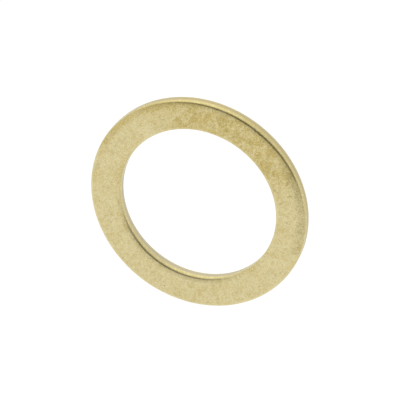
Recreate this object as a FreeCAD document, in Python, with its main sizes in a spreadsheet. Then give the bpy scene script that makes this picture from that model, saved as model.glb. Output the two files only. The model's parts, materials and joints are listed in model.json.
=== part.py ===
import FreeCAD, Part
import math
import os
import Sketcher

# A flat brass washer: one thin ring, blanked and pierced from sheet in one stroke.
#
# Millimetres. The bore axis is Y and Z is up. The origin is the centre of the bore,
# halfway through the thickness. The front face looks towards -Y and has the edges that
# the die rolls over; the back face looks towards +Y and has the sharp ones. Between them
# the cut edge is a smooth straight land, and then a broken zone with a slight taper.

NODE = "washer"

SIZES = {
    "outside_diameter": 25.0,
    "bore_diameter": 18.0,
    "thickness": 1.2,
    "roll_radius": 0.38,    # the round that leads from the front face into each cut edge
    "land_end": 0.74,       # depth below the front face where the smooth land ends
    "break_taper": 0.04,    # how far the broken zone draws in by the back face
}

# the sketcher's numbers for the ends of an edge, and for the sketch's own origin
START = 1
END = 2
ORIGIN = -1


def make_sheet(doc):
    """Write the driving dimensions into a spreadsheet, one named row each."""
    sheet = doc.addObject("Spreadsheet::Sheet", "Sizes")
    for row, (name, value) in enumerate(SIZES.items(), start=1):
        sheet.set(f"A{row}", name)
        sheet.set(f"B{row}", str(value))
        sheet.setAlias(f"B{row}", name)
    doc.recompute()


def add_outline(sketch):
    """Draw the section's eight edges at their places, and name them."""
    bore = SIZES["bore_diameter"] / 2
    outside = SIZES["outside_diameter"] / 2
    back = SIZES["thickness"] / 2
    front = -back
    roll_radius = SIZES["roll_radius"]
    taper = SIZES["break_taper"]
    land = front + SIZES["land_end"]
    quarter = math.pi / 2

    def line(start, end):
        edge = Part.LineSegment(FreeCAD.Vector(*start, 0), FreeCAD.Vector(*end, 0))
        return sketch.addGeometry(edge, False)

    def roll(across, first_angle):
        centre = FreeCAD.Vector(across, front + roll_radius, 0)
        circle = Part.Circle(centre, FreeCAD.Vector(0, 0, 1), roll_radius)
        arc = Part.ArcOfCircle(circle, first_angle, first_angle + quarter)
        return sketch.addGeometry(arc, False)

    return {
        "front_face": line((bore + roll_radius, front), (outside - roll_radius, front)),
        "outer_roll": roll(outside - roll_radius, -quarter),
        "outer_land": line((outside, front + roll_radius), (outside, land)),
        "outer_break": line((outside, land), (outside - taper, back)),
        "back_face": line((outside - taper, back), (bore + taper, back)),
        "bore_break": line((bore + taper, back), (bore, land)),
        "bore_land": line((bore, land), (bore, front + roll_radius)),
        "bore_roll": roll(bore + roll_radius, -2 * quarter),
    }


def constrain(sketch, edge):
    """Close the outline, square it up and tie its sizes to the spreadsheet."""
    def fix(kind, *where):
        return sketch.addConstraint(Sketcher.Constraint(kind, *where))

    def size(name, alias, kind, *where, divisor=1):
        """Hold a length or radius to a named size from the spreadsheet."""
        sketch.renameConstraint(fix(kind, *where, SIZES[alias] / divisor), name)
        sketch.setExpression(f"Constraints.{name}", f"Sizes.{alias} / {divisor}")

    origin = (ORIGIN, START)
    front_left = (edge["front_face"], START)
    front_right = (edge["front_face"], END)
    back_right = (edge["back_face"], START)
    back_left = (edge["back_face"], END)
    outer_land_start = (edge["outer_land"], START)
    outer_land_end = (edge["outer_land"], END)
    bore_land_end = (edge["bore_land"], START)
    bore_land_start = (edge["bore_land"], END)

    # a roll runs smoothly out of the front face and into the land
    fix("Tangent", *front_right, edge["outer_roll"], START)
    fix("Tangent", edge["outer_roll"], END, *outer_land_start)
    fix("Tangent", *bore_land_start, edge["bore_roll"], START)
    fix("Tangent", edge["bore_roll"], END, *front_left)
    fix("Coincident", *outer_land_end, edge["outer_break"], START)
    fix("Coincident", edge["outer_break"], END, *back_right)
    fix("Coincident", *back_left, edge["bore_break"], START)
    fix("Coincident", edge["bore_break"], END, *bore_land_end)
    fix("Horizontal", edge["front_face"])
    fix("Horizontal", edge["back_face"])
    fix("Vertical", edge["outer_land"])
    fix("Vertical", edge["bore_land"])

    size("outside_radius", "outside_diameter", "DistanceX", *origin, *outer_land_start, divisor=2)
    size("bore_radius", "bore_diameter", "DistanceX", *origin, *bore_land_start, divisor=2)
    size("half_front", "thickness", "DistanceY", *front_right, *origin, divisor=2)
    size("half_back", "thickness", "DistanceY", *origin, *back_right, divisor=2)
    size("outer_roll_radius", "roll_radius", "Radius", edge["outer_roll"])
    size("bore_roll_radius", "roll_radius", "Radius", edge["bore_roll"])
    size("outer_land_depth", "land_end", "DistanceY", *front_right, *outer_land_end)
    size("bore_land_depth", "land_end", "DistanceY", *front_left, *bore_land_end)
    size("outer_taper", "break_taper", "DistanceX", *back_right, *outer_land_end)
    size("bore_taper", "break_taper", "DistanceX", *bore_land_end, *back_left)


def make_washer(doc):
    """Turn the section once round the bore axis."""
    body = doc.addObject("PartDesign::Body", "Washer")
    body.Label = NODE
    section = body.newObject("Sketcher::SketchObject", "Section")
    plane = next(item for item in body.Origin.OriginFeatures if item.Role == "XY_Plane")
    section.AttachmentSupport = [(plane, "")]
    section.MapMode = "FlatFace"
    constrain(section, add_outline(section))
    doc.recompute()

    ring = body.newObject("PartDesign::Revolution", "Ring")
    ring.Profile = section
    ring.ReferenceAxis = (section, ["V_Axis"])
    ring.Angle = 360
    body.Placement = FreeCAD.Placement()
    doc.recompute()
    return body


def expected_volume():
    """The ring's volume by Pappus: each area times the way that its centroid travels."""
    bore = SIZES["bore_diameter"] / 2
    outside = SIZES["outside_diameter"] / 2
    full_turn = 2 * math.pi
    plain = full_turn / 2 * SIZES["thickness"] * (outside ** 2 - bore ** 2)
    # the spandrel outside a quarter circle, and how far its centroid is from its corner
    roll_radius = SIZES["roll_radius"]
    spandrel = (1 - math.pi / 4) * roll_radius ** 2
    from_corner = roll_radius * (10 - 3 * math.pi) / (12 - 3 * math.pi)
    # the sliver that the taper takes off each cut edge
    sliver = SIZES["break_taper"] * (SIZES["thickness"] - SIZES["land_end"]) / 2
    from_edge = SIZES["break_taper"] / 3
    removed = 0
    for area, inset in ((spandrel, from_corner), (sliver, from_edge)):
        removed += area * full_turn * ((outside - inset) + (bore + inset))
    return plain - removed


def check(doc, body):
    """Stop if any object failed to build or the washer isn't one sound solid."""
    for item in doc.Objects:
        if "Invalid" in item.State or "Error" in item.State:
            raise RuntimeError(f"{item.Name} failed: {item.State}")
    if not doc.getObject("Section").FullyConstrained:
        raise RuntimeError("the section has a size that nothing holds")
    shape = body.Shape
    if shape.isNull() or not shape.isValid() or len(shape.Solids) != 1:
        raise RuntimeError(f"{body.Label} is not one valid solid")
    expected = expected_volume()
    if abs(shape.Volume - expected) > 0.001 * expected:
        raise RuntimeError(f"{body.Label} has {shape.Volume:.2f} mm3, not {expected:.2f}")


def main():
    doc = FreeCAD.newDocument("FlatWasher")
    make_sheet(doc)
    washer = make_washer(doc)
    check(doc, washer)
    os.makedirs("parts", exist_ok=True)
    washer.Shape.exportStep(f"parts/{washer.Label}.step")
    box = washer.Shape.optimalBoundingBox()
    print(f"{washer.Label}: {box.XLength:.3f} x {box.YLength:.3f} x {box.ZLength:.3f} mm,",
          f"{washer.Shape.Volume:.2f} mm3, expected {expected_volume():.2f}")


main()
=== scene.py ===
import functools
import json
import math

import bmesh
import bpy
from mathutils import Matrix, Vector


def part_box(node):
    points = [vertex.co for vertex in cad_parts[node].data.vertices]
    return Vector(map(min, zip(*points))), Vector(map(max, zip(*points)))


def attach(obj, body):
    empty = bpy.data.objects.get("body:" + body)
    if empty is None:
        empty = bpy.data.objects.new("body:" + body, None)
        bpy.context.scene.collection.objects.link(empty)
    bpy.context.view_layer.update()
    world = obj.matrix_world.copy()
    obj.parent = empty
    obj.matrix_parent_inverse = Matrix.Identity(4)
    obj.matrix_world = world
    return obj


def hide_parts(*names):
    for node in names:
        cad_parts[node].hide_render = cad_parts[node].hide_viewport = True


bl_info = {
    "name": "Flat Brass Washer",
    "version": (1, 0, 0),
    "blender": (4, 5, 0),
    "location": "3D View > Sidebar > Washer",
    "description": "Models a flat brass washer blanked from sheet, and a white studio to show it in",
    "category": "Add Mesh",
}

MM = 0.001
TINY = 0.002 * MM
QUARTER_TURN = math.pi / 2

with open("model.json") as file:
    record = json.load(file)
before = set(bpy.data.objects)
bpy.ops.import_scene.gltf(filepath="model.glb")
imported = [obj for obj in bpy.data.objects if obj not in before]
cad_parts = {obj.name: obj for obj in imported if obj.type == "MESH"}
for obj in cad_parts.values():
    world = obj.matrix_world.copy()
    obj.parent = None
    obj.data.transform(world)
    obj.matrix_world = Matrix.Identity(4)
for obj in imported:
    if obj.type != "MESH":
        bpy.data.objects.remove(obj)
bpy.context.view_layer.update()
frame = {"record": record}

# The washer stands on its rim with its bore along Y. Its front face, where the punch and
# the die rolled the edges over, looks towards -Y.
NODE = "washer"
LOW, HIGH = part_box(NODE)
MOUNTS = {mount["name"]: mount for mount in frame["record"]["mounts"]}

# The section, from the front face down: a roll that is fuller than a round, a smooth land,
# and a torn zone that draws in towards the back face.
ROLL_REACH = 0.58 * MM
ROLL_FULLNESS = 0.63
LAND_END = 0.74 * MM
BREAK_TAPER = 0.04 * MM
BREAK_RELIEF = 0.04 * MM


# ---------------------------------------------------------------------------------------
# What a user may change
# ---------------------------------------------------------------------------------------

class WasherShape(bpy.types.PropertyGroup):
    """The washer's section and how finely it is modelled."""

    outside_radius: bpy.props.FloatProperty(
        name="Outside radius", description="From the bore axis to the cut edge",
        default=(HIGH.x - LOW.x) / 2, min=0, unit="LENGTH", precision=5)
    bore_radius: bpy.props.FloatProperty(
        name="Bore radius", description="From the bore axis to the bore wall",
        default=MOUNTS["bore"]["dims"]["r_mm"] * MM, min=0, unit="LENGTH", precision=5)
    thickness: bpy.props.FloatProperty(
        name="Thickness", description="From the front face to the back face",
        default=HIGH.y - LOW.y, min=0, unit="LENGTH", precision=5)
    roll_reach: bpy.props.FloatProperty(
        name="Roll reach", description="How far the roll reaches in from the edge, each way",
        default=ROLL_REACH, min=0, unit="LENGTH", precision=5)
    roll_fullness: bpy.props.FloatProperty(
        name="Roll fullness", description="0.5 is a round; more keeps closer to the corner",
        default=ROLL_FULLNESS, min=0, max=1, subtype="FACTOR")
    land_end: bpy.props.FloatProperty(
        name="Land end", description="Depth below the front face where the smooth land ends",
        default=LAND_END, min=0, unit="LENGTH", precision=5)
    break_taper: bpy.props.FloatProperty(
        name="Break taper", description="How far the broken zone draws in by the back face",
        default=BREAK_TAPER, min=0, unit="LENGTH", precision=5)
    break_relief: bpy.props.FloatProperty(
        name="Break relief", description="How rough the broken zone is",
        default=BREAK_RELIEF, min=0, unit="LENGTH", precision=5)
    quarter_steps: bpy.props.IntProperty(
        name="Quarter steps", description="Faces round a quarter of the ring",
        default=200, min=16)


class BrassFinish(bpy.types.PropertyGroup):
    """The colours and polish of the rolled brass."""

    face: bpy.props.FloatVectorProperty(
        name="Face", description="Dull rolled brass", subtype="COLOR", size=3,
        default=(0.685, 0.596, 0.330), min=0, max=1)
    # The warm colour also carries painted shade, on the yellow side up and right.
    warm: bpy.props.FloatVectorProperty(
        name="Warm stain", description="Yellow brown tarnish", subtype="COLOR", size=3,
        default=(0.545, 0.430, 0.155), min=0, max=1)
    # The olive colour also carries painted shade: the dark reflection on the right and the band at
    # the foot of the near rolls.
    olive: bpy.props.FloatVectorProperty(
        name="Olive stain", description="Dark greenish tarnish", subtype="COLOR", size=3,
        default=(0.300, 0.250, 0.105), min=0, max=1)
    # The pale colour is the clean brass of the grain, and also painted sheen on the far rims and
    # painted light on the cut edges.
    pale_and_sheen: bpy.props.FloatVectorProperty(
        name="Pale grain", description="Clean brass: bright specks, rubbed rims and flecks",
        subtype="COLOR", size=3, default=(0.800, 0.715, 0.430), min=0, max=1)
    land: bpy.props.FloatVectorProperty(
        name="Land", description="Burnished brass of the cut edge", subtype="COLOR", size=3,
        default=(0.575, 0.490, 0.216), min=0, max=1)
    broken: bpy.props.FloatVectorProperty(
        name="Broken zone", description="Torn brass of the cut edge", subtype="COLOR", size=3,
        default=(0.552, 0.490, 0.322), min=0, max=1)
    face_roughness: bpy.props.FloatProperty(
        name="Face roughness", description="How dull the faces are",
        default=0.34, min=0, max=1, subtype="FACTOR")
    land_roughness: bpy.props.FloatProperty(
        name="Land roughness", description="How dull the burnished land is",
        default=0.20, min=0, max=1, subtype="FACTOR")
    broken_roughness: bpy.props.FloatProperty(
        name="Broken roughness", description="How dull the torn zone is",
        default=0.52, min=0, max=1, subtype="FACTOR")


class WasherStudio(bpy.types.PropertyGroup):
    """The floor, the light and the camera."""

    floor_size: bpy.props.FloatProperty(
        name="Floor size", description="Side of the square floor",
        default=6.0, min=0, unit="LENGTH")
    floor_colour: bpy.props.FloatVectorProperty(
        name="Floor", description="The floor's own colour, under its glow", subtype="COLOR", size=3,
        default=(0.05, 0.05, 0.05), min=0, max=1)
    floor_glow: bpy.props.FloatProperty(
        name="Floor glow", description="How brightly the floor shines of itself",
        default=1.0, min=0)
    daylight: bpy.props.FloatProperty(
        name="Surround", description="Brightness of the white surround", default=1.05, min=0)
    window: bpy.props.FloatProperty(
        name="Soft box", description="Extra brightness of the soft box over the washer",
        default=0.36, min=0)
    shade: bpy.props.FloatProperty(
        name="Shade", description="How much darker the surround is at the screens",
        default=1.0, min=0)
    azimuth: bpy.props.FloatProperty(
        name="Azimuth", description="Camera's turn round the washer",
        default=math.radians(20.5), subtype="ANGLE")
    elevation: bpy.props.FloatProperty(
        name="Elevation", description="Camera's height above the horizon",
        default=math.radians(28.4), subtype="ANGLE")
    distance: bpy.props.FloatProperty(
        name="Distance", description="From the camera to the washer",
        default=0.79, min=0, unit="LENGTH")
    view_width: bpy.props.FloatProperty(
        name="View width", description="Width of the picture at the washer",
        default=43.53 * MM, min=0, unit="LENGTH", precision=5)
    drop: bpy.props.FloatProperty(
        name="Drop", description="How far below the picture's centre the washer's centre is",
        default=0.26 * MM, unit="LENGTH", precision=5)
    slide: bpy.props.FloatProperty(
        name="Slide", description="How far left of the picture's centre the washer's centre is",
        default=0.105 * MM, unit="LENGTH", precision=5)


# ---------------------------------------------------------------------------------------
# Shader arithmetic
# ---------------------------------------------------------------------------------------

class Field:
    """A value that changes over a surface; arithmetic on it adds Math nodes."""

    def __init__(self, nodes, socket):
        self.nodes = nodes
        self.socket = socket

    def math(self, operation, *values):
        """What the Math node makes of the values."""
        sockets = dict(enumerate(values))
        return self.nodes.add("ShaderNodeMath", {"operation": operation}, sockets)

    def __add__(self, other):
        return self.math("ADD", self, other)

    def __sub__(self, other):
        return self.math("SUBTRACT", self, other)

    def __mul__(self, other):
        return self.math("MULTIPLY", self, other)

    def __truediv__(self, other):
        return self.math("DIVIDE", self, other)

    def __pow__(self, other):
        return self.math("POWER", self, other)

    def __radd__(self, other):
        return self.math("ADD", other, self)

    def __rsub__(self, other):
        return self.math("SUBTRACT", other, self)

    def __rmul__(self, other):
        return self.math("MULTIPLY", other, self)

    def larger(self, other):
        """The larger of the two."""
        return self.math("MAXIMUM", self, other)

    def smaller(self, other):
        """The smaller of the two."""
        return self.math("MINIMUM", self, other)

    def rise(self, low, high):
        """0 below low, 1 above high and a smooth step between; it falls if low is above high."""
        if low > high:
            return 1 - self.rise(high, low)
        return self.nodes.add(
            "ShaderNodeMapRange", {"interpolation_type": "SMOOTHSTEP"},
            {"Value": self, "From Min": low, "From Max": high, "To Min": 0.0, "To Max": 1.0})


class Nodes:
    """A node tree, and the one way that nodes are added to it."""

    # Where the Mix node keeps its factor, its two colours and the colour it gives.
    MIX_FACTOR = 0
    MIX_COLOURS = (6, 7)
    MIX_RESULT = 2

    def __init__(self, tree):
        self.tree = tree
        tree.nodes.clear()

    def add(self, kind, settings=None, sockets=None, output=0):
        """Add a node with its settings and its sockets' numbers or fields; gives its output."""
        node = self.tree.nodes.new(kind)
        for name, value in (settings or {}).items():
            setattr(node, name, value)
        for name, value in (sockets or {}).items():
            if isinstance(value, Field):
                self.tree.links.new(value.socket, node.inputs[name])
            else:
                node.inputs[name].default_value = value
        return Field(self, node.outputs[output]) if len(node.outputs) else node

    def vector(self, operation, sockets, output="Vector"):
        return self.add("ShaderNodeVectorMath", {"operation": operation}, sockets, output)

    def join(self, x, y, z):
        return self.add("ShaderNodeCombineXYZ", None, {"X": x, "Y": y, "Z": z})

    def split(self, vector):
        return [self.add("ShaderNodeSeparateXYZ", None, {"Vector": vector}, axis)
                for axis in ("X", "Y", "Z")]

    def noise(self, place, size, detail=2.0, roughness=0.5, distortion=0.0):
        """Smooth noise from about 0.2 to 0.8, with lumps of about the given size."""
        return self.add(
            "ShaderNodeTexNoise", {"noise_dimensions": "3D"},
            {"Vector": place, "Scale": 1 / size, "Detail": detail,
             "Roughness": roughness, "Distortion": distortion}, "Fac")

    def tint(self, under, over, amount):
        """The colour under, covered by over where amount is 1."""
        sockets = {self.MIX_FACTOR: amount}
        for socket, colour in zip(self.MIX_COLOURS, (under, over)):
            sockets[socket] = colour if isinstance(colour, Field) else (*colour, 1)
        return self.add("ShaderNodeMix", {"data_type": "RGBA"}, sockets, self.MIX_RESULT)


# ---------------------------------------------------------------------------------------
# The brass
# ---------------------------------------------------------------------------------------

# Marks on the front face, in millimetres from the bore axis: across and up to each end of
# a scratch or to the middle of a pit, then how wide it is.
SCRATCHES = (
    ((9.54, 1.88), (9.79, 2.04), 0.06),
    ((9.79, 2.04), (10.04, 2.29), 0.04),
    ((10.46, 2.88), (10.71, 3.12), 0.05),
    ((10.71, 3.12), (10.96, 3.08), 0.04),
    ((10.29, 4.25), (10.50, 4.54), 0.05),
    ((10.50, 4.54), (10.46, 4.88), 0.04),
    ((-4.54, 10.88), (-4.29, 11.38), 0.05),
)
PITS = (
    ((10.38, -0.25), 0.10),
    ((-3.83, -10.79), 0.13),
    ((-9.96, -4.92), 0.10),
    ((-8.71, -8.29), 0.12),
    ((-1.96, 10.08), 0.07),
    ((6.08, -9.92), 0.08),
)

# Turns from the X axis: the sheet's rolling direction; where the faces are darkest (yellow up
# and right, partly stain and partly painted shade; olive on the right, a painted dark reflection;
# a yellow stained rim up and left); and the way that the rims with painted shade at their foot
# face. The rims that face away from it carry a painted sheen.
STREAK_ANGLE = math.radians(57)
YELLOW_SHADE_ANGLE = math.radians(66)
OLIVE_REFLECTION_ANGLE = math.radians(8)
RIM_ANGLE = math.radians(130)
PAINTED_SHADE_ANGLE = math.radians(65)

# Sizes of the lumps in the brass, in millimetres.
GRAIN_SIZE = 0.13
STREAK_SIZE = 0.24
HUE_SIZE = 0.40
BLOTCH_SIZE = 0.75
CLOUD_SIZE = 1.6
# The next size is that of the painted glints on the burnished land.
GLINT_SIZE = 0.24
TORN_LINE_SIZE = 0.7
DRAW_LINE_SIZE = 0.10
TEAR_SIZE = 0.16

# How fast the patterns change along the rolling direction, down the wall, or inward from it,
# where 1 is as fast as across; and a step aside, so that the hue doesn't repeat the clouds.
STREAK_STRETCH = 0.35
BLOTCH_STRETCH = 0.6
# The next stretch is for the painted glints on the land, down the wall.
GLINT_STRETCH = 0.4
DRAW_LINE_STRETCH = 0.08
TEAR_STRETCH = 0.6
INWARD_STRETCH = 0.3
HUE_STEP = 30.0

# The parts of the cut edge: the distance at which each is nothing, then the one at which it
# is whole, in millimetres. The wall goes by how far a point is in from the edge and how far
# below the front face, the tear by how far past the torn line, and the burnish by how far
# below the front face.
WALL_GAPS = (0.11, 0.05)
WALL_DEPTHS = (0.13, 0.20)
TEAR_DEPTHS = (-0.03, 0.05)
BURNISH_DEPTHS = (0.60, 0.40)

# The dull band where the tear starts: how far past the land's end it begins, is whole and
# ends, in millimetres. Then how far the torn line sways, from the noise's 0 to its 1.
TEAR_BAND = (-0.22, -0.06, 0.24)
TORN_LINE_SWAY = 0.30

# Where the stains, the painted shade and the painted sheen on the faces lie. Each is nothing at
# the first of a pair and whole at the second. Facings go from -1 to 1, those for the painted shade
# and sheen by how squarely a rim faces away from the painted shade. Gaps are in millimetres, from
# the outer edge for the yellow rim and the olive side, and from the nearer edge for the others.
YELLOW_SHADE_FACINGS = (0.50, 0.97)
RIM_FACINGS = (0.84, 0.97)
RIM_GAPS = (1.10, 0.45)
OLIVE_REFLECTION_FACINGS = (0.84, 0.98)
OLIVE_REFLECTION_GAPS = (1.40, 0.50)
DARK_REFLECTION_RIM_GAPS = (0.80, 0.35)
WARM_RIM_GAPS = (0.75, 0.30)
PAINTED_SHADE_FACINGS = (-0.3, -0.9)
PAINTED_SHADE_OUTER_GAPS = (0.08, 0.35)
PAINTED_SHADE_INNER_GAPS = (0.85, 0.42)
PAINTED_SHEEN_FACINGS = (-0.1, 0.4)
PAINTED_SHEEN_GAPS = (0.52, 0.06)

# How much of each pattern shows: none at the first level of a pair, all at the second.
YELLOW_BLOTCHES = (0.39, 0.61)
OLIVE_BLOTCHES = (0.52, 0.68)
WARM_HUES = (0.42, 0.66)
WARM_CLOUDS = (0.46, 0.70)
WARM_RIM_CLOUDS = (0.44, 0.62)
OLIVE_CLOUDS = (0.35, 0.60)
OLIVE_STREAKS = (0.52, 0.70)
OLIVE_GRAIN = (0.50, 0.27)
PALE_GRAIN = (0.50, 0.72)
PAINTED_GLINT_LEVELS = (0.50, 0.66)

# Marks are on the front face only: nothing at the first depth below it, in millimetres, and
# whole at the second. This much of a mark's width is whole.
MARKED_DEPTHS = (0.3, 0.1)
MARK_CORE = 0.25

# Heights of the surface's relief, in millimetres.
GRAIN_HEIGHT = 0.006
STREAK_HEIGHT = 0.008
DRAW_LINE_HEIGHT = 0.006
TEAR_HEIGHT = 0.030
MARK_DEPTH = 0.015

# How strongly the marks are stained, and how far the streaks change the polish.
MARK_STAIN = 0.75
STREAK_POLISH = 0.20


class Places:
    """Where a point of the washer's surface is, in millimetres, and which part of it that is."""

    def __init__(self, nodes, shape):
        self.outside = shape.outside_radius / MM
        self.bore = shape.bore_radius / MM
        self.thickness = shape.thickness / MM
        self.land_end = shape.land_end / MM
        coordinates = nodes.add("ShaderNodeTexCoord", None, None, "Object")
        self.place = nodes.vector("SCALE", {"Vector": coordinates, "Scale": 1 / MM})
        self.across, self.along, self.up = nodes.split(self.place)
        self.radius = (self.across * self.across + self.up * self.up) ** 0.5
        self.arc = self.up.math("ARCTAN2", self.up, self.across) * self.outside
        self.depth = self.along + self.thickness / 2
        self.outer_gap = self.outside - self.radius
        self.edge_gap = self.outer_gap.smaller(self.radius - self.bore)
        self.bore_side = (self.radius - self.bore).rise(self.outside - self.bore, 0.0)

        # the cut edges, and the smooth and the torn part of each
        self.on_wall = self.edge_gap.rise(*WALL_GAPS) * self.depth.rise(*WALL_DEPTHS)
        sway = (nodes.noise(self.place, TORN_LINE_SIZE, 3.0) - 0.5) * TORN_LINE_SWAY
        torn_line = self.land_end + sway
        self.on_break = self.on_wall * (self.depth - torn_line).rise(*TEAR_DEPTHS)
        self.on_land = self.on_wall * (1 - self.on_break)
        self.burnish = self.on_land * self.depth.rise(*BURNISH_DEPTHS)

    def facing(self, angle):
        """1 on the side of the ring at that angle, -1 on the far side."""
        return (self.across * math.cos(angle) + self.up * math.sin(angle)) / self.radius


class SheetPattern:
    """The patterns in the rolled sheet: grain and streaks, and patches of several sizes."""

    def __init__(self, nodes, at):
        run = at.across * math.cos(STREAK_ANGLE) + at.up * math.sin(STREAK_ANGLE)
        side = at.up * math.cos(STREAK_ANGLE) - at.across * math.sin(STREAK_ANGLE)
        streak_place = nodes.join(run * STREAK_STRETCH, at.along, side)
        blotch_place = nodes.join(run * BLOTCH_STRETCH, at.along, side)
        hue_place = nodes.join(at.across + HUE_STEP, at.along, at.up)
        self.streaks = nodes.noise(streak_place, STREAK_SIZE, 4.0, 0.65, 0.4)
        self.grain = nodes.noise(at.place, GRAIN_SIZE, 3.0, 0.7)
        self.hue = nodes.noise(hue_place, HUE_SIZE, 3.0, 0.6)
        self.clouds = nodes.noise(at.place, CLOUD_SIZE, 4.0, 0.6)
        self.blotches = nodes.noise(blotch_place, BLOTCH_SIZE, 5.0, 0.65, 0.5)


def colour_faces(nodes, at, sheet, finish):
    """The faces: yellow up and right, partly painted shade, and on the rim up and left; a painted
    dark reflection in olive on the right; grain and streaks all over; painted shade at the foot of
    the near rims and a painted sheen on the far rims."""
    # The yellow side up and right is partly a yellow brown stain and partly painted shade darkening
    # that side.
    yellow_and_shade_side = at.facing(YELLOW_SHADE_ANGLE).rise(*YELLOW_SHADE_FACINGS)
    yellow_rim = at.facing(RIM_ANGLE).rise(*RIM_FACINGS) * at.outer_gap.rise(*RIM_GAPS)
    # The olive side on the right is a painted dark reflection, mottled olive and darkest along the
    # outer rim.
    olive_reflection_side = at.facing(OLIVE_REFLECTION_ANGLE).rise(*OLIVE_REFLECTION_FACINGS) * at.outer_gap.rise(*OLIVE_REFLECTION_GAPS)
    # How squarely a rim faces away from the painted shade: near rims get painted shade at their
    # foot, far rims a painted sheen.
    painted_sheen_side = at.facing(PAINTED_SHADE_ANGLE) * (at.bore_side * 2 - 1)

    # yellow brown, in blotches on the yellow side, where it is partly painted shade, and in patches
    # elsewhere
    warm = yellow_and_shade_side * (0.22 + sheet.blotches.rise(*YELLOW_BLOTCHES) * 0.74)
    warm = warm + yellow_rim * 0.62
    warm = warm + sheet.hue.rise(*WARM_HUES) * 0.42
    warm = warm + sheet.clouds.rise(*WARM_CLOUDS) * 0.22
    warm_rim = at.edge_gap.rise(*WARM_RIM_GAPS) * sheet.clouds.rise(*WARM_RIM_CLOUDS)

    # olive, in the streaks and the grain; a painted dark reflection on the olive side; and painted
    # shade at the foot of the near rims
    dark = sheet.streaks.rise(*OLIVE_STREAKS) * (0.18 + yellow_and_shade_side * 0.16)
    dark = dark + sheet.grain.rise(*OLIVE_GRAIN) * (0.46 + yellow_and_shade_side * 0.12)
    dark = dark + yellow_and_shade_side * sheet.blotches.rise(*OLIVE_BLOTCHES) * 0.16
    dark = dark + yellow_rim * 0.06
    # painted dark reflection on the right, darker still along the outer rim
    dark = dark + olive_reflection_side * (0.20 + sheet.clouds.rise(*OLIVE_CLOUDS) * 0.25)
    dark = dark + olive_reflection_side * at.outer_gap.rise(*DARK_REFLECTION_RIM_GAPS) * 0.08
    dark = dark.smaller(1.0)
    # Painted shade: an olive band at the foot of the near rolls, widening the dark reflection there.
    roll_foot = at.edge_gap.rise(*PAINTED_SHADE_INNER_GAPS) * at.edge_gap.rise(*PAINTED_SHADE_OUTER_GAPS)
    painted_shade = roll_foot * painted_sheen_side.rise(*PAINTED_SHADE_FACINGS)
    dark = dark.larger(painted_shade * 0.32 + dark * 0.7)

    # clean brass in the brightest grain, and painted sheen on the far rims
    # Painted sheen: the far rims made paler, standing in for their grazing reflection.
    painted_sheen = at.edge_gap.rise(*PAINTED_SHEEN_GAPS) * painted_sheen_side.rise(*PAINTED_SHEEN_FACINGS)
    pale_and_sheen = (sheet.grain.rise(*PALE_GRAIN) * 0.80).larger(painted_sheen * 0.55)

    colour = nodes.tint(finish.face, finish.warm, warm.smaller(1.0))
    colour = nodes.tint(colour, finish.warm, warm_rim * 0.35)
    colour = nodes.tint(colour, finish.olive, dark)
    return nodes.tint(colour, finish.pale_and_sheen, pale_and_sheen)


def colour_walls(nodes, at, colour, finish):
    """The cut edges: a bright land with painted glints, that dulls where the tear starts, then torn
    metal with painted light that grows towards the back face. The outer one is stained, the bore's
    isn't."""
    stain = (1 - at.bore_side) * (0.10 + at.depth.rise(at.thickness, at.land_end) * 0.50)
    # Painted light: the torn zone pales towards the back face, where the edge meets the bright
    # surround.
    painted_back_light = at.on_break * at.depth.rise(at.land_end, at.thickness)
    begin, whole, end = (at.land_end + step for step in TEAR_BAND)
    tear_start = at.depth.rise(begin, whole) * at.depth.rise(end, at.land_end)
    # Painted glints: pale flecks along the burnished land.
    glint_place = nodes.join(at.arc, at.depth * GLINT_STRETCH, at.radius * INWARD_STRETCH)
    painted_glints = nodes.noise(glint_place, GLINT_SIZE, 3.0, 0.6).rise(*PAINTED_GLINT_LEVELS)

    colour = nodes.tint(colour, finish.broken, at.on_wall)
    colour = nodes.tint(colour, finish.warm, at.on_wall * stain)
    colour = nodes.tint(colour, finish.pale_and_sheen, painted_back_light * 0.25)
    colour = nodes.tint(colour, finish.olive, at.on_wall * tear_start * 0.14)
    colour = nodes.tint(colour, finish.land, at.burnish)
    return nodes.tint(colour, finish.pale_and_sheen, at.burnish * painted_glints * 0.50)


def front_marks(at):
    """1 in the scratches and pits of the front face."""
    pits = [(centre, centre, width) for centre, width in PITS]
    marks = [line_mark(at, *line) for line in (*SCRATCHES, *pits)]
    return functools.reduce(Field.larger, marks) * at.depth.rise(*MARKED_DEPTHS)


def line_mark(at, start, end, width):
    """1 on the line from start to end, falling to 0 at width from it."""
    run = Vector(end) - Vector(start)
    length = max(run.length, TINY)
    run = run / length
    across = at.across - start[0]
    up = at.up - start[1]
    ahead = (across * run.x + up * run.y).larger(0.0).smaller(length)
    gap_across = across - ahead * run.x
    gap_up = up - ahead * run.y
    gap = (gap_across * gap_across + gap_up * gap_up) ** 0.5
    return gap.rise(width, width * MARK_CORE)


def surface_relief(nodes, at, sheet, marks):
    """Height in millimetres: rolled faces, lines drawn down the land, torn metal, and marks."""
    line_place = nodes.join(at.arc, at.depth * DRAW_LINE_STRETCH, at.radius * INWARD_STRETCH)
    draw_lines = nodes.noise(line_place, DRAW_LINE_SIZE, 2.0)
    tear_place = nodes.join(at.arc, at.depth * TEAR_STRETCH, at.radius)
    tears = nodes.noise(tear_place, TEAR_SIZE, 4.0, 0.65)
    rolled = (sheet.grain - 0.5) * GRAIN_HEIGHT + (sheet.streaks - 0.5) * STREAK_HEIGHT
    height = (1 - at.on_wall) * rolled
    height = height + at.on_land * (draw_lines - 0.5) * DRAW_LINE_HEIGHT
    height = height + at.on_break * (tears - 0.5) * TEAR_HEIGHT
    return height - marks * MARK_DEPTH


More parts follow.
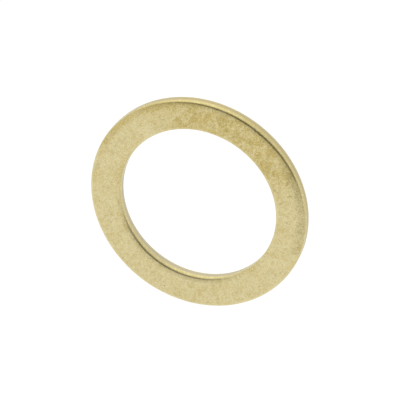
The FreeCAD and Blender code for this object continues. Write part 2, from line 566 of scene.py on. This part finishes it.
def make_brass(shape, finish):
    """Rolled sheet brass, with the two zones of its cut edges."""
    material = bpy.data.materials.new("rolled_brass")
    material.use_nodes = True
    nodes = Nodes(material.node_tree)
    at = Places(nodes, shape)
    sheet = SheetPattern(nodes, at)
    marks = front_marks(at)

    colour = colour_faces(nodes, at, sheet, finish)
    colour = colour_walls(nodes, at, colour, finish)
    colour = nodes.tint(colour, finish.olive, marks * MARK_STAIN)
    roughness = finish.face_roughness + (sheet.streaks - 0.5) * STREAK_POLISH
    roughness = roughness + at.burnish * (finish.land_roughness - finish.face_roughness)
    roughness = roughness + at.on_break * (finish.broken_roughness - finish.face_roughness)
    height = surface_relief(nodes, at, sheet, marks)
    bump = nodes.add("ShaderNodeBump", None, {"Height": height, "Distance": MM, "Strength": 1.0})

    shader = nodes.add(
        "ShaderNodeBsdfPrincipled", None,
        {"Base Color": colour, "Roughness": roughness, "Metallic": 1.0, "Normal": bump})
    nodes.add("ShaderNodeOutputMaterial", None, {"Surface": shader})
    return material


# ---------------------------------------------------------------------------------------
# The ring
# ---------------------------------------------------------------------------------------

# How many edges or cuts each part of the section has.
ROLL_SEGMENTS = 14
FACE_CUTS = 15
LAND_CUTS = 2
BREAK_CUTS = 6

SMOOTH_ANGLE = math.radians(35)

# The wear: how far off a surface still counts as on it, how deep into the broken zone the
# tearing reaches its full strength, the size of the lumps there, and the size and height of
# the waves in the rolls and the faces.
SKIN = 0.02 * MM
TEAR_FADE = 0.12 * MM
TEAR_LUMP = 0.13 * MM
ROLL_WAVE = 1.5 * MM
ROLL_WAVE_HEIGHT = 0.025 * MM
FACE_WAVE = 1.3 * MM
FACE_WAVE_HEIGHT = 0.007 * MM

# Nicks in the outer edge's roll: across and up from the bore axis, in millimetres.
NICKS = ((7.25, 10.08), (6.71, 10.38))
NICK_REACH = 0.25 * MM
NICK_DEPTH = 0.05 * MM


def choose(obj, wanted, kind="VERT"):
    """In edit mode, select just the vertices, or the edges with both ends, that pass the test."""
    bpy.ops.mesh.select_mode(type=kind)
    bpy.ops.mesh.select_all(action="DESELECT")
    mesh = bmesh.from_edit_mesh(obj.data)
    if kind == "VERT":
        for vertex in mesh.verts:
            vertex.select_set(wanted(vertex.co))
    else:
        for edge in mesh.edges:
            edge.select_set(all(wanted(vertex.co) for vertex in edge.verts))
    mesh.select_flush_mode()
    bmesh.update_edit_mesh(obj.data)


def divide(obj, wanted, cuts):
    """Cut each of the edges that pass the test that many times."""
    choose(obj, wanted, "EDGE")
    bpy.ops.mesh.subdivide(number_cuts=cuts)


def draw_section(shape):
    """The ring's section as a loop of edges right of the axis: X from the axis, Y along it."""
    middle = (shape.outside_radius + shape.bore_radius) / 2
    width = shape.outside_radius - shape.bore_radius
    back = shape.thickness / 2
    front = -back
    land_line = front + shape.land_end
    walls = {shape.bore_radius: 1, shape.outside_radius: -1}
    bpy.ops.object.select_all(action="DESELECT")
    bpy.ops.mesh.primitive_plane_add(size=1, location=(middle, 0, 0))
    section = bpy.context.object
    section.name = "flat_washer"
    section.data.name = "flat_washer"
    bpy.ops.object.transform_apply(location=True, rotation=False, scale=False)
    bpy.ops.object.mode_set(mode="EDIT")
    bpy.ops.mesh.select_all(action="SELECT")
    bpy.ops.transform.resize(
        value=(width, shape.thickness, 1), center_override=(middle, 0, 0))

    # round the two front corners
    choose(section, lambda co: co.y < 0)
    bpy.ops.mesh.bevel(
        offset=shape.roll_reach, offset_type="OFFSET", segments=ROLL_SEGMENTS,
        profile=shape.roll_fullness, affect="VERTICES")
    bpy.ops.mesh.delete(type="ONLY_FACE")

    # cut each wall where its land ends, and draw its back corner in
    for wall, inward in walls.items():
        divide(section, lambda co: abs(co.x - wall) < TINY, 1)
        choose(section, lambda co: abs(co.x - wall) < TINY
               and front + shape.roll_reach + TINY < co.y < back - TINY)
        half_way = (front + shape.roll_reach + back) / 2
        bpy.ops.transform.translate(value=(0, land_line - half_way, 0))
        choose(section, lambda co: abs(co.x - wall) < TINY and co.y > back - TINY)
        bpy.ops.transform.translate(value=(inward * shape.break_taper, 0, 0))

    # even edges all round, fine enough to carry the wear
    divide(section, lambda co: co.y < front + TINY, FACE_CUTS)
    divide(section, lambda co: co.y > back - TINY, FACE_CUTS)
    for wall in walls:
        divide(section, lambda co: abs(co.x - wall) < TINY and co.y < land_line + TINY
               and co.y > front + shape.roll_reach - TINY, LAND_CUTS)
        divide(section, lambda co: abs(co.x - wall) < shape.break_taper + TINY
               and co.y > land_line - TINY, BREAK_CUTS)
    return section


def turn_ring(section, shape):
    """Spin the section through a quarter turn, then mirror that round to the whole ring."""
    bpy.ops.mesh.select_mode(type="EDGE")
    bpy.ops.mesh.select_all(action="SELECT")
    bpy.ops.mesh.spin(
        steps=shape.quarter_steps, angle=QUARTER_TURN, center=(0, 0, 0), axis=(0, 1, 0))
    bpy.ops.object.mode_set(mode="OBJECT")
    mirror = section.modifiers.new("whole ring", "MIRROR")
    mirror.use_axis = (True, False, True)
    mirror.merge_threshold = TINY
    bpy.ops.object.modifier_apply(modifier=mirror.name)
    bpy.ops.object.mode_set(mode="EDIT")
    bpy.ops.mesh.select_all(action="SELECT")
    bpy.ops.mesh.remove_doubles(threshold=TINY)
    bpy.ops.mesh.normals_make_consistent(inside=False)
    bpy.ops.object.mode_set(mode="OBJECT")


def add_zone(ring, name, weight):
    """A vertex group holding weight(place, radius, depth) wherever that isn't nothing."""
    group = ring.vertex_groups.new(name=name)
    front = min(vertex.co.y for vertex in ring.data.vertices)
    for vertex in ring.data.vertices:
        place = vertex.co
        amount = weight(place, math.hypot(place.x, place.z), place.y - front)
        if amount > 0:
            group.add([vertex.index], min(amount, 1), "REPLACE")


def roughen(ring, zone, size, strength, direction="NORMAL", detail=1):
    """Push a zone in and out with clouds of the given size, and apply it."""
    texture = bpy.data.textures.new(f"{zone} clouds", type="CLOUDS")
    texture.noise_scale = size
    texture.noise_depth = detail
    displace = ring.modifiers.new(zone, "DISPLACE")
    displace.texture = texture
    displace.texture_coords = "LOCAL"
    displace.direction = direction
    displace.vertex_group = zone
    displace.strength = strength
    bpy.ops.object.modifier_apply(modifier=displace.name)


def dent(ring, zone, depth):
    """Press a zone in along its normals, and apply it."""
    displace = ring.modifiers.new(zone, "DISPLACE")
    displace.vertex_group = zone
    displace.mid_level = 0
    displace.strength = -depth
    bpy.ops.object.modifier_apply(modifier=displace.name)


def wear_ring(ring, shape):
    """Uneven rolls, a torn broken zone, soft waves in the faces, and nicks in the edge."""
    back = shape.thickness - SKIN

    def edge_gap(radius):
        return min(shape.outside_radius - radius, radius - shape.bore_radius)

    def on_break(place, radius, depth):
        inside = edge_gap(radius) < shape.break_taper + SKIN and depth < back
        return (depth - shape.land_end) / TEAR_FADE if inside else 0

    def on_roll(place, radius, depth):
        on_it = edge_gap(radius) < shape.roll_reach and depth < shape.roll_reach
        return 1 - edge_gap(radius) / shape.roll_reach if on_it else 0

    def on_faces(place, radius, depth):
        return 1 if depth < SKIN or depth > back else 0

    def on_nicks(place, radius, depth):
        nearest = min(math.hypot(place.x - x * MM, place.z - z * MM) for x, z in NICKS)
        return 1 - nearest / NICK_REACH if depth < shape.roll_reach else 0

    zones = {"break": on_break, "roll": on_roll, "faces": on_faces, "nicks": on_nicks}
    for name, weight in zones.items():
        add_zone(ring, name, weight)
    roughen(ring, "break", TEAR_LUMP, shape.break_relief, detail=3)
    roughen(ring, "roll", ROLL_WAVE, ROLL_WAVE_HEIGHT, "Y")
    roughen(ring, "faces", FACE_WAVE, FACE_WAVE_HEIGHT, "Y", detail=2)
    dent(ring, "nicks", NICK_DEPTH)
    ring.vertex_groups.clear()


class WASHER_OT_ring(bpy.types.Operator):
    """Model the washer: section, turn, wear and brass"""

    bl_idname = "washer.ring"
    bl_label = "Flat Washer"

    def execute(self, context):
        shape = context.scene.washer_shape
        ring = draw_section(shape)
        turn_ring(ring, shape)
        wear_ring(ring, shape)
        ring.data.materials.append(make_brass(shape, context.scene.brass_finish))
        bpy.ops.object.shade_smooth_by_angle(angle=SMOOTH_ANGLE)
        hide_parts(NODE)
        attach(ring, "root")
        return {"FINISHED"}


# ---------------------------------------------------------------------------------------
# The studio
# ---------------------------------------------------------------------------------------

# A soft box high up behind the washer: azimuth, elevation and reach, in degrees.
SOFT_BOX = (222, 62, 50)

# Dark screens in front of the washer, the first of them behind the camera: azimuth,
# elevation and reach, in degrees, and how dark each is.
SCREENS = (
    (20.5, 26, 42, 1.0),
    (62, 10, 40, 0.85),
    (-18, 37, 34, 0.85),
)


def direction(azimuth, elevation):
    """The way from the washer to something seen at that azimuth and elevation."""
    return Vector((math.sin(azimuth) * math.cos(elevation),
                   -math.cos(azimuth) * math.cos(elevation),
                   math.sin(elevation)))


def add_floor(studio):
    """A plain white floor that shines of itself, so that nothing on it casts a shadow."""
    bpy.ops.object.select_all(action="DESELECT")
    bpy.ops.mesh.primitive_plane_add(size=studio.floor_size, location=(0, 0, LOW.z))
    floor = bpy.context.object
    floor.name = "floor"
    bpy.ops.object.transform_apply(location=True, rotation=False, scale=False)
    material = bpy.data.materials.new("white_floor")
    material.use_nodes = True
    shader = material.node_tree.nodes["Principled BSDF"]
    shader.inputs["Base Color"].default_value = (*studio.floor_colour, 1)
    shader.inputs["Roughness"].default_value = 1.0
    shader.inputs["Emission Color"].default_value = (1, 1, 1, 1)
    shader.inputs["Emission Strength"].default_value = studio.floor_glow
    shader.inputs["Specular IOR Level"].default_value = 0.0
    floor.data.materials.append(material)


def light_studio(studio):
    """A white surround, with a soft box behind the washer and dark screens before it."""
    world = bpy.data.worlds.new("white_surround")
    bpy.context.scene.world = world
    world.use_nodes = True
    nodes = Nodes(world.node_tree)
    view = nodes.add("ShaderNodeTexCoord", None, None, "Generated")

    def nearness(azimuth, elevation, reach):
        """1 in that direction, falling smoothly to 0 at reach away from it."""
        toward = direction(math.radians(azimuth), math.radians(elevation))
        cosine = nodes.vector("DOT_PRODUCT", {0: view, 1: toward}, "Value")
        return cosine.rise(math.cos(math.radians(reach)), 1.0)

    window = nearness(*SOFT_BOX)
    screens = [nearness(*place) * darkness for *place, darkness in SCREENS]
    shade = functools.reduce(Field.larger, screens)
    strength = studio.daylight + window * studio.window - shade * studio.shade
    background = nodes.add(
        "ShaderNodeBackground", None, {"Color": (1, 1, 1, 1), "Strength": strength})
    nodes.add("ShaderNodeOutputWorld", None, {"Surface": background})


def place_camera(studio):
    """A long-lens camera that looks down at the washer's front."""
    back = direction(studio.azimuth, studio.elevation)
    turn = back.to_track_quat("Z", "Y")
    middle = (LOW + HIGH) / 2
    data = bpy.data.cameras.new("camera")
    data.sensor_width = 36
    data.lens = data.sensor_width * studio.distance / studio.view_width
    data.dof.use_dof = False
    camera = bpy.data.objects.new("camera", data)
    bpy.context.scene.collection.objects.link(camera)
    shift = turn @ Vector((studio.slide, studio.drop, 0))
    camera.location = middle + back * studio.distance + shift
    camera.rotation_euler = turn.to_euler()
    bpy.context.scene.camera = camera


class WASHER_OT_studio(bpy.types.Operator):
    """Set up the white floor, the soft light and the camera"""

    bl_idname = "washer.studio"
    bl_label = "Studio"

    def execute(self, context):
        studio = context.scene.washer_studio
        add_floor(studio)
        light_studio(studio)
        place_camera(studio)
        context.scene.view_settings.view_transform = "Standard"
        return {"FINISHED"}


# ---------------------------------------------------------------------------------------
# The add-on
# ---------------------------------------------------------------------------------------

OPERATORS = (WASHER_OT_ring, WASHER_OT_studio)


class WASHER_PT_tools(bpy.types.Panel):
    """The washer's operators and settings"""

    bl_label = "Flat Washer"
    bl_idname = "WASHER_PT_tools"
    bl_space_type = "VIEW_3D"
    bl_region_type = "UI"
    bl_category = "Washer"

    def draw(self, context):
        for operator in OPERATORS:
            self.layout.operator(operator.bl_idname)
        scene = context.scene
        for group in (scene.washer_shape, scene.brass_finish, scene.washer_studio):
            box = self.layout.box()
            for name in group.__annotations__:
                box.prop(group, name)


CLASSES = (WasherShape, BrassFinish, WasherStudio, *OPERATORS, WASHER_PT_tools)


def register():
    for each in CLASSES:
        bpy.utils.register_class(each)
    bpy.types.Scene.washer_shape = bpy.props.PointerProperty(type=WasherShape)
    bpy.types.Scene.brass_finish = bpy.props.PointerProperty(type=BrassFinish)
    bpy.types.Scene.washer_studio = bpy.props.PointerProperty(type=WasherStudio)


def unregister():
    del bpy.types.Scene.washer_studio
    del bpy.types.Scene.brass_finish
    del bpy.types.Scene.washer_shape
    for each in reversed(CLASSES):
        bpy.utils.unregister_class(each)


def main():
    register()
    bpy.ops.washer.ring()
    bpy.ops.washer.studio()


if __name__ == "__main__":
    main()
